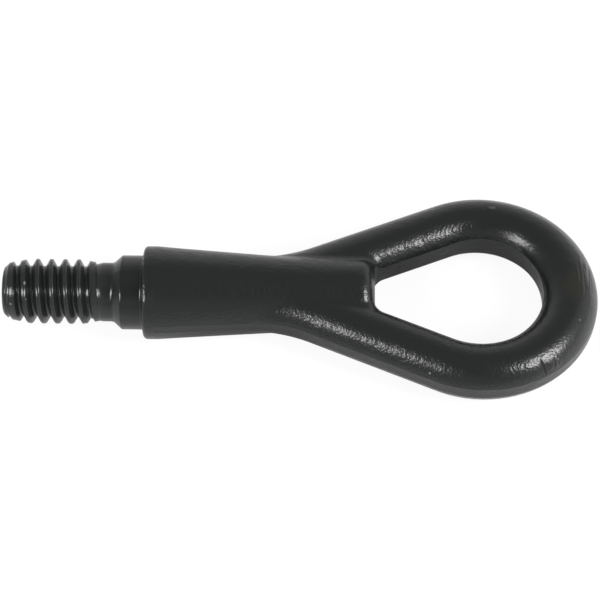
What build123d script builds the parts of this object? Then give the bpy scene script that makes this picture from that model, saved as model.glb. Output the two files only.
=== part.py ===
from build123d import *
import math
import os

# Forged screw-in tow eye, in millimetres. X runs along the screw's axis, with the thread towards -X and
# the eye towards +X. The eye lies in the XY plane, and the origin is the centre of the shoulder's seat.

# Thread: coarse, right-handed, single start, rolled, with rounded crests and roots
thread_diameter = 19.0
thread_pitch = 4.0
thread_flank_angle = 30.0
crest_width = 0.9
crest_radius = 0.6
root_width = 0.7
root_radius = 0.35
crest_angle_at_tip = 242.0

# Tip: a flat, its rounded edge and a chamfer, then crests that fill up over the first turns
tip_to_shoulder = 41.0
tip_flat_diameter = 12.8
tip_edge_diameter = 14.7
tip_edge_length = 0.7
tip_edge_radius = 1.1
chamfer_length = 0.9
chamfer_angle = 46.0
lead_in_angle = 11.0

# Run-out of the last crests and of the groove into the plain neck, measured from the shoulder
run_out_start = 19.6
run_out_end = 12.1
groove_end_angle = 14.0

# Plain neck, cone and pilot collar
neck_diameter = 17.2
neck_end = 8.9
neck_root_radius = 1.8
collar_diameter = 21.7
collar_length = 6.4
collar_edge_radius = 0.6
collar_root_radius = 0.8

# Forged stem: a short land at the shoulder, a taper, then a slighter one to the crowned end in the crotch
shoulder_diameter = 27.2
shoulder_edge_radius = 1.2
shoulder_land_length = 4.0
stem_taper_angle = 3.86
stem_taper_length = 36.0
stem_end_taper_angle = 1.6
crotch_from_shoulder = 67.4
crotch_crown_radius = 28.0
stem_end_radius = 3.5

# Eye: one round bar that splays out of the stem and bends round the far end, where it is thicker
bar_diameter = 15.8
far_bar_diameter = 16.6
limb_angle = 23.9
splay_radius = 50.0
splay_seat_depth = 0.2
eye_centre_from_shoulder = 98.1
eye_bend_radius = 26.2
far_bar_from_eye_centre = 26.05
valley_radius = 4.5

# Opening: punched through, which leaves a flat wall all round the inside of the bar
punch_half_width = 18.95
punch_far_reach = 18.4
punch_corner_radius = 1.2

# Flash: trimmed off round the outside, which leaves a flat along the stem, the limbs and the bend
stem_trim_depth = 0.08
splay_trim_radius = 37.0
limb_trim_depth = 0.2
far_trim_depth = 0.02

# How the thread's curves are drawn, how far the blank's cones run past the crests and into the neck, and
# how near two places are to count as one
arc_spans = 4
flank_spans = 5
cone_overrun = 0.3
same_place = 0.01

# Values worked out from the sizes above
flank = math.radians(thread_flank_angle)
thread_depth = (thread_pitch - crest_width - root_width) / 2 / math.tan(flank)
crest_r = thread_diameter / 2
root_r = crest_r - thread_depth
tip_flat_r = tip_flat_diameter / 2
tip_edge_r = tip_edge_diameter / 2
neck_r = neck_diameter / 2
collar_r = collar_diameter / 2
shoulder_r = shoulder_diameter / 2
bar_r = bar_diameter / 2
far_bar_r = far_bar_diameter / 2
taper = math.radians(stem_taper_angle)
end_taper = math.radians(stem_end_taper_angle)
splay = math.radians(limb_angle)

# Thread's axial profile, from a crest's middle to a root's middle: flat, arc, flank, arc, flat
half_pitch = thread_pitch / 2
arc_tangent = math.tan((math.pi / 2 - flank) / 2)
crest_corner = crest_width / 2
root_corner = half_pitch - root_width / 2
crest_arc_start = crest_corner - crest_radius * arc_tangent
crest_arc_end = crest_corner + crest_radius * arc_tangent * math.sin(flank)
root_arc_start = root_corner - root_radius * arc_tangent * math.sin(flank)
root_arc_end = root_corner + root_radius * arc_tangent


def thread_r(s):
    """Radius of the thread at an axial distance s from a crest's middle, up to half a pitch."""
    if s <= crest_arc_start:
        return crest_r
    if s < crest_arc_end:
        return crest_r - crest_radius + math.sqrt(crest_radius**2 - (s - crest_arc_start) ** 2)
    if s <= root_arc_start:
        return crest_r - (s - crest_corner) / math.tan(flank)
    if s < root_arc_end:
        return root_r + root_radius - math.sqrt(root_radius**2 - (root_arc_end - s) ** 2)
    return root_r


def wound(s):
    """Point of the thread's cross-section that has the profile's radius at an axial distance s."""
    angle = 2 * math.pi * s / thread_pitch
    return Vector(thread_r(s) * math.cos(angle), thread_r(s) * math.sin(angle))


def wound_curve(start, end, spans):
    """Curve of the thread's cross-section between two axial distances."""
    return Spline(*[wound(start + (end - start) * i / spans) for i in range(spans + 1)])


def stem_meets_limb(side_at_land, on_limb):
    """Point where a line along the stem's side, from its height at the land, meets a line along the limb."""
    limb_at_land = on_limb.Y - (on_limb.X - shoulder_land_length) * math.tan(splay)
    run = (side_at_land - limb_at_land) / (math.tan(splay) + math.tan(taper))
    return Vector(shoulder_land_length + run, side_at_land - run * math.tan(taper))


# Screw: the thread is its cross-section twisted along the axis, one turn for each pitch
tip = -tip_to_shoulder
thread_end = -run_out_end
crest_turn = math.radians(crest_angle_at_tip)
crest_direction = (0, math.cos(crest_turn), math.sin(crest_turn))
chamfer_start = tip + tip_edge_length
lead_in_start = chamfer_start + chamfer_length
lead_in_r = tip_edge_r + chamfer_length * math.tan(math.radians(chamfer_angle))
clear_r = crest_r + cone_overrun
lead_in_length = (clear_r - lead_in_r) / math.tan(math.radians(lead_in_angle))
core_r = root_r - root_radius
groove_run = (neck_r - core_r) / math.tan(math.radians(groove_end_angle))

with BuildPart() as screw:
    with BuildLine(mode=Mode.PRIVATE) as thread_axis:
        Line((tip, 0, 0), (thread_end, 0, 0))
    with BuildLine(mode=Mode.PRIVATE) as thread_helix:
        Helix(thread_pitch, thread_end - tip, crest_r, center=(tip, 0, 0), direction=(1, 0, 0))
    with BuildSketch(Plane((tip, 0, 0), x_dir=crest_direction, z_dir=(1, 0, 0))):
        with BuildLine():
            ThreePointArc(wound(0), wound(crest_arc_start / 2), wound(crest_arc_start))
            wound_curve(crest_arc_start, crest_arc_end, arc_spans)
            wound_curve(crest_arc_end, root_arc_start, flank_spans)
            wound_curve(root_arc_start, root_arc_end, arc_spans)
            ThreePointArc(wound(root_arc_end), wound((root_arc_end + half_pitch) / 2), wound(half_pitch))
            mirror(about=Plane.XZ)
        make_face()
    sweep(path=thread_axis.line, binormal=thread_helix.line.edge())

    # The blank that it was rolled from bounds the crests: tip, chamfer, lead-in and run-out
    with BuildSketch(Plane.XZ):
        with BuildLine():
            RadiusArc((tip, tip_flat_r), (chamfer_start, tip_edge_r), tip_edge_radius)
            Polyline(
                (chamfer_start, tip_edge_r),
                (lead_in_start, lead_in_r),
                (lead_in_start + lead_in_length, clear_r),
                (-run_out_start, clear_r),
                (thread_end, neck_r - cone_overrun),
                (thread_end, 0),
                (tip, 0),
                (tip, tip_flat_r),
            )
        make_face()
    revolve(axis=Axis.X, mode=Mode.INTERSECT)

    # Plain neck, cone and pilot collar, carried on into the stem
    with BuildSketch(Plane.XZ) as shank_section:
        with BuildLine():
            Polyline(
                (-run_out_start, 0),
                (-run_out_start, core_r),
                (thread_end - groove_run, core_r),
                (thread_end, neck_r),
                (-neck_end, neck_r),
                (-collar_length, collar_r),
                (shoulder_land_length, collar_r),
                (shoulder_land_length, 0),
                close=True,
            )
        make_face()
        neck_root = shank_section.vertices().filter_by_position(Axis.X, -neck_end, -neck_end)
        fillet(neck_root, neck_root_radius)
        collar_edge = shank_section.vertices().filter_by_position(Axis.X, -collar_length, -collar_length)
        fillet(collar_edge, collar_edge_radius)
    revolve(axis=Axis.X)

# Opening: straight sides along the limbs, tangent to an ellipse round the far end
eye_centre = Vector(eye_centre_from_shoulder, 0)
along_limb = Vector(math.cos(splay), math.sin(splay))
out_of_limb = Vector(-math.sin(splay), math.cos(splay))
punch_from_centre = math.hypot(punch_far_reach * out_of_limb.X, punch_half_width * out_of_limb.Y)
punch_bend_turn = math.atan2(punch_half_width * out_of_limb.Y, punch_far_reach * out_of_limb.X)
punch_bend_angle = math.degrees(punch_bend_turn)
punch_bend_start = eye_centre + Vector(
    punch_far_reach * math.cos(punch_bend_turn), punch_half_width * math.sin(punch_bend_turn)
)
wall_half_height = math.sqrt(bar_r**2 - (eye_bend_radius - punch_from_centre) ** 2)

# Half of the stem: its end in the crotch is crowned, and meets the punched wall at that wall's two edges
taper_end = shoulder_land_length + stem_taper_length
taper_end_r = shoulder_r - stem_taper_length * math.tan(taper)
stem_end_r = taper_end_r - (eye_centre_from_shoulder - taper_end) * math.tan(end_taper)
crown_apex = crotch_from_shoulder + wall_half_height**2 / 2 / crotch_crown_radius
crown_reach = shoulder_r + shoulder_edge_radius
crown_back = crown_apex - crotch_crown_radius + math.sqrt(crotch_crown_radius**2 - crown_reach**2)

with BuildPart() as half_stem:
    with BuildSketch(Plane.XZ):
        with BuildLine():
            Polyline(
                (0, 0),
                (0, shoulder_r),
                (shoulder_land_length, shoulder_r),
                (taper_end, taper_end_r),
                (eye_centre_from_shoulder, stem_end_r),
                (eye_centre_from_shoulder, 0),
                close=True,
            )
        make_face()
    revolve(axis=Axis.X)
    with BuildSketch(Plane.XZ):
        with BuildLine():
            ThreePointArc((crown_back, -crown_reach), (crown_apex, 0), (crown_back, crown_reach))
            Polyline(
                (crown_back, crown_reach),
                (0, crown_reach),
                (0, -crown_reach),
                (crown_back, -crown_reach),
            )
        make_face()
    extrude(amount=shoulder_diameter, both=True, mode=Mode.INTERSECT)
    fillet(half_stem.edges().filter_by(GeomType.BSPLINE), stem_end_radius)
    fillet(half_stem.edges().filter_by(GeomType.CIRCLE).sort_by(Axis.X)[0], shoulder_edge_radius)
    split(bisect_by=Plane.XZ, keep=Keep.BOTTOM)

# Half of the eye: the bar runs inside the stem, splays out of its side and bends round the far end
along_stem = Vector(math.cos(taper), -math.sin(taper))
bend_start = eye_centre + out_of_limb * eye_bend_radius
bend_end = eye_centre + Vector(far_bar_from_eye_centre, 0)
side_at_land = shoulder_r - bar_r / math.cos(taper) - splay_seat_depth
corner = stem_meets_limb(side_at_land, bend_start)
splay_tangent = splay_radius * math.tan((splay + taper) / 2)
splay_start = corner - along_stem * splay_tangent
splay_end = corner + along_limb * splay_tangent
bar_start = splay_start - along_stem * bar_r

with BuildPart() as half_eye:
    with BuildLine(mode=Mode.PRIVATE) as limb_run:
        in_stem = Line(bar_start, splay_start)
        TangentArc(splay_start, splay_end, tangent=in_stem % 1)
        Line(splay_end, bend_start)
    with BuildLine(mode=Mode.PRIVATE) as bend_run:
        TangentArc(bend_start, bend_end, tangent=along_limb)
    with BuildSketch(Plane(bar_start, x_dir=(0, 0, 1), z_dir=along_stem)):
        Circle(bar_r)
    sweep(path=limb_run.line)
    with BuildSketch(Plane(bend_start, x_dir=(0, 0, 1), z_dir=along_limb)):
        Circle(bar_r)
    with BuildSketch(Plane(bend_end, x_dir=(0, 0, 1), z_dir=(0, -1, 0))):
        Circle(far_bar_r)
    sweep(path=bend_run.line, multisection=True)
    split(bisect_by=Plane.XZ, keep=Keep.BOTTOM)

# Line that the flash is trimmed to: along the stem's side, the splay, the limb and the bend
trim_at_land = shoulder_r - stem_trim_depth
trim_start = Vector(0, trim_at_land + shoulder_land_length * math.tan(taper))
trim_limb_end = bend_start + out_of_limb * (bar_r - limb_trim_depth)
trim_far_end = bend_end + Vector(far_bar_r - far_trim_depth, 0)
trim_corner = stem_meets_limb(trim_at_land, trim_limb_end)
trim_clear = Vector(trim_far_end.X + bar_r, trim_limb_end.Y + bar_r)

# Whole piece: the halves blended, trimmed and mirrored, the eye punched through, the screw on the shoulder
punch_corner_run = punch_bend_start.X - crotch_from_shoulder
punch_corner = Vector(crotch_from_shoulder, punch_bend_start.Y - punch_corner_run * math.tan(splay))

with BuildPart() as tow_eye:
    add(half_stem.part)
    add(half_eye.part)
    fillet(tow_eye.edges(Select.NEW), valley_radius)
    with BuildSketch():
        with BuildLine():
            FilletPolyline(trim_start, trim_corner, trim_limb_end, radius=splay_trim_radius)
            TangentArc(trim_limb_end, trim_far_end, tangent=along_limb)
            Polyline(
                trim_far_end,
                (trim_clear.X, 0),
                (trim_clear.X, trim_clear.Y),
                (0, trim_clear.Y),
                trim_start,
            )
        make_face()
    extrude(amount=bar_diameter, both=True, mode=Mode.SUBTRACT)
    mirror(about=Plane.XZ)
    with BuildSketch(Plane.XY.offset(-bar_diameter)) as punch:
        with BuildLine():
            Line((crotch_from_shoulder, 0), punch_corner)
            Line(punch_corner, punch_bend_start)
            EllipticalCenterArc(eye_centre, punch_far_reach, punch_half_width, arc_size=punch_bend_angle)
            mirror(about=Plane.XZ)
        make_face()
        wall_ends = punch.vertices().group_by(Axis.X)[0].sort_by(Axis.Y)
        fillet([wall_ends[0], wall_ends[-1]], punch_corner_radius)
    extrude(amount=2 * bar_diameter, mode=Mode.SUBTRACT)
    add(screw.part)
    circles = tow_eye.edges().filter_by(GeomType.CIRCLE)
    seat_edges = circles.filter_by(lambda edge: abs(edge.center().X) < same_place)
    fillet(seat_edges.sort_by(SortBy.RADIUS)[0], collar_root_radius)

os.makedirs("parts", exist_ok=True)
tow_eye.part.label = "tow_eye"
export_step(tow_eye.part, "parts/tow_eye.step")
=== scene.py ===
import math

import bpy
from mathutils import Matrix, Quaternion, Vector

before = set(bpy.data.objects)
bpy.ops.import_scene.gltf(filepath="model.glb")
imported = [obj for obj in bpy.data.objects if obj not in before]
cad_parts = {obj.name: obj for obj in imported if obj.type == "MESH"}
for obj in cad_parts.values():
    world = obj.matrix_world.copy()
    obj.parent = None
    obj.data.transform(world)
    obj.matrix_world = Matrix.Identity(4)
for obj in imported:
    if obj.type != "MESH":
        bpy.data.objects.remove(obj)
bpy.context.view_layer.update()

MM = 0.001

# Each mark, zone or shade is full within this share of its half sizes and fades out at its edge
MARK_FULL_WITHIN = 0.4

# Camera, fitted to the outline in the photograph
CAMERA_AT = (0.055273, -0.401482, 0.554407)
CAMERA_TURN_DEG = (35.7904, 0.17708, 1.14209)
CAMERA_LENS_MM = 140.393
CAMERA_SENSOR_MM = 36.0

# Floor: the eye rests on the bottom of its shoulder and on the bottom of the far bar
SHOULDER_REST = Vector((4.0, 0.0, -13.6)) * MM
FAR_BAR_REST = Vector((124.15, 0.0, -8.3)) * MM
FLOOR_HALF_SIZE = 4.0
FLOOR_WHITENESS = 0.85

# Floor as the camera sees it: mostly glow, with enough whiteness left to show the eye's shadow
FLOOR_GLOW_TO_CAMERA = 0.90
FLOOR_WHITENESS_TO_CAMERA = 0.12

# Floor as the paint mirrors it, with painted light and shade: darker on the left and lighter on the right,
# painted shade in front, and painted shadows inside the loop and under the stem. Each painted shade has a
# centre, half sizes and the share of the whiteness that it leaves
FLOOR_GLOW_IN_GLOSS = 0.05
FLOOR_PAINTED_LIGHT_IN_GLOSS_LEFT = 0.69
FLOOR_PAINTED_LIGHT_IN_GLOSS_RIGHT = 1.00
FLOOR_LEFT_TO = -20.0 * MM
FLOOR_RIGHT_FROM = 165.0 * MM
FLOOR_FRONT_FROM = -44.0 * MM
FLOOR_FRONT_FULL = -70.0 * MM
FLOOR_PAINTED_FRONT_SHARE = 0.70
FLOOR_PAINTED_SHADES_MM = (
    (Vector((94.0, 2.0, -10.0)), Vector((30.0, 26.0, 20.0)), 0.60),
    (Vector((32.0, 0.0, -13.0)), Vector((48.0, 26.0, 20.0)), 0.46),
)

# Studio: brightness by the angle over the eye, from the front horizon (0 degrees) over the ceiling (90)
# to the back horizon (180), with a grey wall on the left and a pale one on the right.
# A side wall fades in with the sideways part of the direction
STUDIO_ARC = (
    (0, 0.55),
    (25, 0.55),
    (40, 0.33),
    (50, 0.25),
    (61, 0.25),
    (85, 0.36),
    (130, 0.38),
    (144, 0.58),
    (155, 0.78),
    (180, 0.83),
)
LEFT_WALL_BRIGHTNESS = 0.42
RIGHT_WALL_BRIGHTNESS = 0.95
SIDE_WALL_STARTS = 0.45
SIDE_WALL_FULL = 0.90

# Two soft boxes, left and right of the camera: direction, roll in degrees, width in metres, power in watts
LAMPS = (
    (Vector((-0.675, -0.490, 0.550)), 0.0, 0.44, 6.1),
    (Vector((0.705, -0.335, 0.620)), -50.0, 0.46, 7.9),
)
LAMP_AIM = Vector((0.045, 0.0, 0.0))
LAMP_DISTANCE = 1.0
LAMP_HEIGHT = 0.28

# Black paint over the blasted forging, and over the turned and rolled screw end
PAINT_COLOUR = (0.0065, 0.0077, 0.0071, 1.0)
THREAD_COLOUR = (0.0125, 0.0142, 0.0134, 1.0)
PAINT_IOR = 1.5
FORGED_ROUGHNESS = 0.27
MACHINED_ROUGHNESS = 0.19
THREAD_TO = -13.0 * MM
NECK_FROM = -9.0 * MM
MACHINED_TO = -0.3 * MM
FORGED_FROM = 0.3 * MM

# Relief in the paint: grain that is shallower at the far end, slow waves, turned rings and streaks.
# Each zone has a centre and half sizes, in the row's frame
NOISE_DETAIL = 1.0
GRAIN_PER_METRE = 1300.0
GRAIN_DEPTH_MM = 0.115
FAR_END_GRAIN_DEPTH_MM = 0.078
FAR_END_CENTRE_MM = Vector((124.0, 8.0, 5.0))
FAR_END_HALF_SIZES_MM = Vector((34.0, 44.0, 40.0))
WAVES_PER_METRE = 250.0
WAVE_DEPTH_MM = 0.16
RINGS_PER_METRE = 1500.0
RING_DEPTH_MM = 0.12
RING_ZONES_MM = (
    (Vector((-39.0, 0.0, 0.0)), Vector((9.0, 60.0, 60.0))),
    (Vector((-14.5, 0.0, 0.0)), Vector((5.0, 60.0, 60.0))),
)
STREAKS_PER_METRE = Vector((1300.0, 150.0, 150.0))
STREAK_DEPTH_MM = 0.30
STREAK_ZONES_MM = (
    (Vector((128.5, 3.5, 5.5)), Vector((5.0, 11.0, 6.0))),
    (Vector((118.5, -26.0, 4.5)), Vector((3.6, 3.0, 3.0))),
)

# Marks in the paint, in the row's frame: a lap line across the lower bend, pale specks and a patch of thin
# paint.
# The specks are chips, but the last two, on the run-out, are painted glints. Each speck has a centre, half
# sizes and a strength
LAP_CENTRE_MM = Vector((115.2, -27.6, 4.6))
LAP_ALONG = Vector((1.36, -1.80, -3.62))
LAP_HALF_SIZES_MM = Vector((3.4, 0.55, 1.8))
LAP_DEPTH_MM = 0.20
LAP_COLOUR = (0.002, 0.002, 0.002, 1.0)
LAP_ROUGHNESS = 0.85
CHIPS_AND_GLINTS_MM = (
    (Vector((82.96, -29.56, 3.74)), Vector((0.45, 0.45, 0.45)), 0.8),
    (Vector((102.06, 27.17, 7.91)), Vector((1.50, 0.80, 0.80)), 0.2),
    (Vector((126.09, -12.45, 6.83)), Vector((0.35, 0.35, 0.35)), 0.6),
    (Vector((119.42, -24.74, 4.83)), Vector((0.40, 0.40, 0.40)), 0.5),
    (Vector((-34.03, -3.46, 8.64)), Vector((0.40, 0.70, 0.70)), 1.0),
    (Vector((-33.55, -7.16, 5.87)), Vector((0.35, 0.35, 0.35)), 0.6),
    (Vector((-38.21, -7.58, 3.86)), Vector((0.45, 0.45, 0.45)), 0.7),
    # Painted glints on the run-out
    (Vector((-13.09, -4.44, 7.06)), Vector((0.45, 0.45, 0.45)), 0.6),
    (Vector((-12.48, -5.24, 6.69)), Vector((0.35, 0.35, 0.35)), 0.6),
)
CHIP_AND_GLINT_COLOUR = (0.20, 0.20, 0.195, 1.0)
THIN_PAINT_CENTRE_MM = Vector((125.1, -1.0, 8.2))
THIN_PAINT_HALF_SIZES_MM = Vector((5.0, 7.0, 5.0))
THIN_PAINT_COLOUR = (0.0120, 0.0118, 0.0085, 1.0)


def grey(brightness):
    """An opaque grey."""
    return (brightness, brightness, brightness, 1.0)


def add_node(tree, kind, inputs=None, **settings):
    """A new node with its settings, and each named input set to a value or linked to an output."""
    made = tree.nodes.new(kind)
    for name, value in settings.items():
        setattr(made, name, value)
    for name, value in (inputs or {}).items():
        if isinstance(value, bpy.types.NodeSocket):
            tree.links.new(value, made.inputs[name])
        else:
            made.inputs[name].default_value = value
    return made


def combined(tree, operation, values):
    """Output of one operation over several values, from the first to the last."""
    total = values[0]
    for value in values[1:]:
        total = add_node(tree, "ShaderNodeMath", {0: total, 1: value}, operation=operation).outputs[0]
    return total


def sum_of(tree, *values):
    """Output that adds up several values."""
    return combined(tree, "ADD", values)


def product_of(tree, *values):
    """Output that multiplies several values."""
    return combined(tree, "MULTIPLY", values)


def mixed(tree, factor, first, second):
    """Output that goes from the first colour to the second as the factor goes from 0 to 1."""
    return add_node(tree, "ShaderNodeMixRGB", {"Fac": factor, "Color1": first, "Color2": second}).outputs[0]


def eased(tree, value, start, end, low=0.0, high=1.0):
    """Output that goes smoothly from low to high as a value goes from start to end."""
    limits = {"Value": value, "From Min": start, "From Max": end, "To Min": low, "To Max": high}
    return add_node(tree, "ShaderNodeMapRange", limits, interpolation_type="SMOOTHSTEP").outputs["Result"]


def blended(tree, factor, first, second):
    """Output that goes smoothly from the first value to the second as the factor goes from 0 to 1."""
    return eased(tree, factor, 0.0, 1.0, first, second)


def mark(tree, place, centre_mm, half_sizes_mm, along=Vector((1.0, 0.0, 0.0))):
    """Output that is 1 inside an ellipsoid whose first axis lies along a direction, with a soft edge."""
    within = add_node(
        tree,
        "ShaderNodeMapping",
        {
            "Vector": place,
            "Location": centre_mm * MM,
            "Rotation": along.to_track_quat("X", "Z").to_euler(),
            "Scale": half_sizes_mm * MM,
        },
        vector_type="TEXTURE",
    )
    reach = add_node(tree, "ShaderNodeVectorMath", {0: within.outputs[0]}, operation="LENGTH")
    return eased(tree, reach.outputs["Value"], 1.0, MARK_FULL_WITHIN)


def zones(tree, place, zones_mm):
    """Output that adds up the marks of several zones."""
    return sum_of(tree, *(mark(tree, place, centre, half_sizes) for centre, half_sizes in zones_mm))


def noise(tree, place, cells_per_unit=1.0):
    """Output of an even noise from 0 to 1."""
    inputs = {"Vector": place, "Scale": cells_per_unit, "Detail": NOISE_DETAIL}
    return add_node(tree, "ShaderNodeTexNoise", inputs).outputs["Fac"]


def make_camera():
    """The photograph's viewpoint."""
    data = bpy.data.cameras.new("camera")
    data.sensor_fit = "HORIZONTAL"
    data.sensor_width = CAMERA_SENSOR_MM
    data.lens = CAMERA_LENS_MM
    camera = bpy.data.objects.new("camera", data)
    camera.location = CAMERA_AT
    camera.rotation_euler = [math.radians(turn) for turn in CAMERA_TURN_DEG]
    bpy.context.collection.objects.link(camera)
    bpy.context.scene.camera = camera


def painted_floor_light_in_gloss(tree):
    """Output of the floor's whiteness where the paint mirrors it, with its painted light and shade."""
    place = add_node(tree, "ShaderNodeNewGeometry").outputs["Position"]
    axis = add_node(tree, "ShaderNodeSeparateXYZ", {0: place}).outputs
    # Painted light and shade: darker on the left, lighter on the right, and painted shade in front
    across = eased(
        tree,
        axis["X"],
        FLOOR_LEFT_TO,
        FLOOR_RIGHT_FROM,
        FLOOR_PAINTED_LIGHT_IN_GLOSS_LEFT,
        FLOOR_PAINTED_LIGHT_IN_GLOSS_RIGHT,
    )
    painted_front_shade = eased(tree, axis["Y"], FLOOR_FRONT_FROM, FLOOR_FRONT_FULL, 1.0, FLOOR_PAINTED_FRONT_SHARE)
    # Painted shadows inside the loop and under the stem
    under = [
        blended(tree, mark(tree, place, centre, half_sizes), 1.0, share)
        for centre, half_sizes, share in FLOOR_PAINTED_SHADES_MM
    ]
    return product_of(tree, across, painted_front_shade, *under)


def floor_material():
    """White to the camera, with the eye's own soft shadow, and in reflections a pale floor with painted light
    and shade.
    """
    material = bpy.data.materials.new("floor")
    material.use_nodes = True
    tree = material.node_tree
    tree.nodes.clear()
    ray = add_node(tree, "ShaderNodeLightPath").outputs
    to_camera = ray["Is Camera Ray"]
    in_gloss = sum_of(tree, ray["Is Glossy Ray"], ray["Is Transmission Ray"])
    glow = sum_of(
        tree,
        product_of(tree, to_camera, FLOOR_GLOW_TO_CAMERA),
        product_of(tree, in_gloss, FLOOR_GLOW_IN_GLOSS),
    )
    whiteness = blended(tree, in_gloss, FLOOR_WHITENESS, painted_floor_light_in_gloss(tree))
    whiteness = blended(tree, to_camera, whiteness, FLOOR_WHITENESS_TO_CAMERA)
    emission = add_node(tree, "ShaderNodeEmission", {"Strength": glow})
    diffuse = add_node(tree, "ShaderNodeBsdfDiffuse", {"Color": whiteness})
    both = add_node(tree, "ShaderNodeAddShader", {0: emission.outputs[0], 1: diffuse.outputs[0]})
    add_node(tree, "ShaderNodeOutputMaterial", {"Surface": both.outputs[0]})
    return material


def make_floor():
    """One large pale plane through the two places that the eye rests on."""
    slope = FAR_BAR_REST - SHOULDER_REST
    bpy.ops.mesh.primitive_plane_add(size=2 * FLOOR_HALF_SIZE, location=SHOULDER_REST)
    floor = bpy.context.object
    floor.name = "floor"
    floor.rotation_euler = (0, -math.atan2(slope.z, slope.x), 0)
    floor.data.materials.append(floor_material())


def studio_arc(tree, axis):
    """Output of the studio's colour by the angle over the eye, from the front horizon to the back one."""
    angle = add_node(
        tree,
        "ShaderNodeMath",
        {0: axis["Z"], 1: product_of(tree, axis["Y"], -1.0)},
        operation="ARCTAN2",
    )
    along = add_node(tree, "ShaderNodeMapRange", {"Value": angle.outputs[0], "From Max": math.pi})
    arc = add_node(tree, "ShaderNodeValToRGB", {"Fac": along.outputs["Result"]})
    stops = arc.color_ramp.elements
    while len(stops) < len(STUDIO_ARC):
        stops.new(position=0.5)
    for stop, (degrees, brightness) in zip(stops, STUDIO_ARC):
        stop.position = degrees / 180
        stop.color = grey(brightness)
    return arc.outputs["Color"]


def make_studio():
    """White to the camera. The eye is lit by soft walls and a ceiling that is dimmer overhead."""
    world = bpy.data.worlds.new("studio")
    bpy.context.scene.world = world
    world.use_nodes = True
    tree = world.node_tree
    tree.nodes.clear()
    direction = add_node(tree, "ShaderNodeTexCoord").outputs["Generated"]
    axis = add_node(tree, "ShaderNodeSeparateXYZ", {0: direction}).outputs
    left = eased(tree, axis["X"], -SIDE_WALL_STARTS, -SIDE_WALL_FULL)
    right = eased(tree, axis["X"], SIDE_WALL_STARTS, SIDE_WALL_FULL)
    walls = mixed(tree, left, studio_arc(tree, axis), grey(LEFT_WALL_BRIGHTNESS))
    walls = mixed(tree, right, walls, grey(RIGHT_WALL_BRIGHTNESS))
    to_camera = add_node(tree, "ShaderNodeLightPath").outputs["Is Camera Ray"]
    seen = mixed(tree, to_camera, walls, grey(1.0))
    background = add_node(tree, "ShaderNodeBackground", {"Color": seen})
    add_node(tree, "ShaderNodeOutputWorld", {"Surface": background.outputs[0]})


def make_lamps():
    """Two soft boxes that give the broken streaks along the limbs."""
    for number, (direction, roll_deg, width, power) in enumerate(LAMPS):
        data = bpy.data.lights.new(f"lamp_{number}", "AREA")
        data.shape = "RECTANGLE"
        data.size = width
        data.size_y = LAMP_HEIGHT
        data.energy = power
        lamp = bpy.data.objects.new(data.name, data)
        lamp.location = LAMP_AIM + direction.normalized() * LAMP_DISTANCE
        roll = Quaternion((0, 0, 1), math.radians(roll_deg))
        lamp.rotation_euler = ((-direction).to_track_quat("-Z", "Y") @ roll).to_euler()
        bpy.context.collection.objects.link(lamp)


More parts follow.
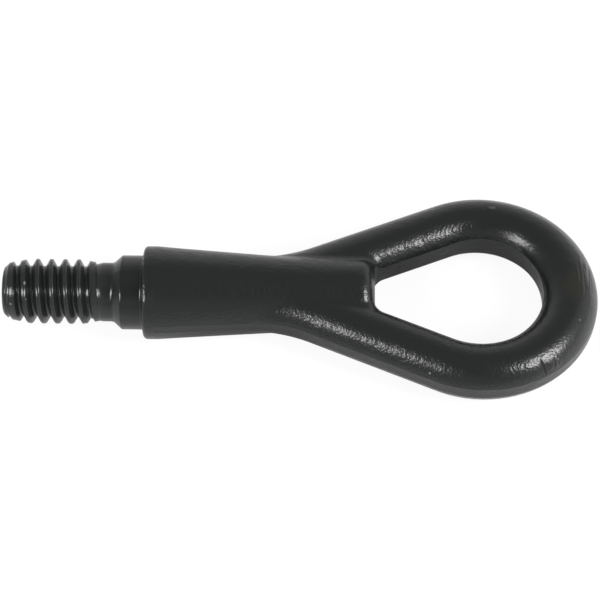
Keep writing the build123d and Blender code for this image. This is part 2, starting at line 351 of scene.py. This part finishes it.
def relief_mm(tree, place, along, lap):
    """Output of the paint's relief: grain and slow waves on the forging, streaks, rings and the lap line."""
    forged = eased(tree, along, MACHINED_TO, FORGED_FROM)
    far_end = mark(tree, place, FAR_END_CENTRE_MM, FAR_END_HALF_SIZES_MM)
    grain = noise(tree, place, GRAIN_PER_METRE)
    grain_depth = blended(tree, far_end, GRAIN_DEPTH_MM, FAR_END_GRAIN_DEPTH_MM)
    waves = noise(tree, place, WAVES_PER_METRE)
    stretched = add_node(
        tree,
        "ShaderNodeVectorMath",
        {0: place, 1: STREAKS_PER_METRE},
        operation="MULTIPLY",
    )
    streaks = noise(tree, stretched.outputs[0])
    rings = add_node(
        tree,
        "ShaderNodeTexNoise",
        {"W": along, "Scale": RINGS_PER_METRE, "Detail": NOISE_DETAIL},
        noise_dimensions="1D",
    )
    return sum_of(
        tree,
        product_of(tree, grain, grain_depth, forged),
        product_of(tree, waves, WAVE_DEPTH_MM, forged),
        product_of(tree, streaks, STREAK_DEPTH_MM, zones(tree, place, STREAK_ZONES_MM)),
        product_of(tree, rings.outputs["Fac"], RING_DEPTH_MM, zones(tree, place, RING_ZONES_MM)),
        product_of(tree, lap, -LAP_DEPTH_MM),
    )


def paint_colour(tree, place, along, lap):
    """Output of the paint's colour: black, a little paler on the thread, with the marks and painted glints in
    it.
    """
    threaded = eased(tree, along, NECK_FROM, THREAD_TO)
    thin = mark(tree, place, THIN_PAINT_CENTRE_MM, THIN_PAINT_HALF_SIZES_MM)
    chips = [
        product_of(tree, mark(tree, place, centre, half_sizes), strength)
        for centre, half_sizes, strength in CHIPS_AND_GLINTS_MM
    ]
    colour = mixed(tree, threaded, PAINT_COLOUR, THREAD_COLOUR)
    colour = mixed(tree, thin, colour, THIN_PAINT_COLOUR)
    colour = mixed(tree, sum_of(tree, *chips), colour, CHIP_AND_GLINT_COLOUR)
    return mixed(tree, lap, colour, LAP_COLOUR)


def black_paint():
    """Semi-gloss black paint over blasted grain and turned rings, with a lap line, chips, painted glints and
    a thin patch.
    """
    material = bpy.data.materials.new("black_paint")
    material.use_nodes = True
    tree = material.node_tree
    shader = tree.nodes["Principled BSDF"]
    place = add_node(tree, "ShaderNodeTexCoord").outputs["Object"]
    along = add_node(tree, "ShaderNodeSeparateXYZ", {0: place}).outputs["X"]
    lap = mark(tree, place, LAP_CENTRE_MM, LAP_HALF_SIZES_MM, LAP_ALONG)
    roughness = eased(tree, along, MACHINED_TO, FORGED_FROM, MACHINED_ROUGHNESS, FORGED_ROUGHNESS)
    roughness = blended(tree, lap, roughness, LAP_ROUGHNESS)
    height = relief_mm(tree, place, along, lap)
    bump = add_node(tree, "ShaderNodeBump", {"Strength": 1.0, "Distance": MM, "Height": height})
    tree.links.new(paint_colour(tree, place, along, lap), shader.inputs["Base Color"])
    tree.links.new(roughness, shader.inputs["Roughness"])
    tree.links.new(bump.outputs["Normal"], shader.inputs["Normal"])
    shader.inputs["IOR"].default_value = PAINT_IOR
    return material


make_camera()
make_floor()
make_studio()
make_lamps()

tow_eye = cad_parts["tow_eye"]
tow_eye.data.materials.clear()
tow_eye.data.materials.append(black_paint())

bpy.context.scene.view_settings.view_transform = "Standard"
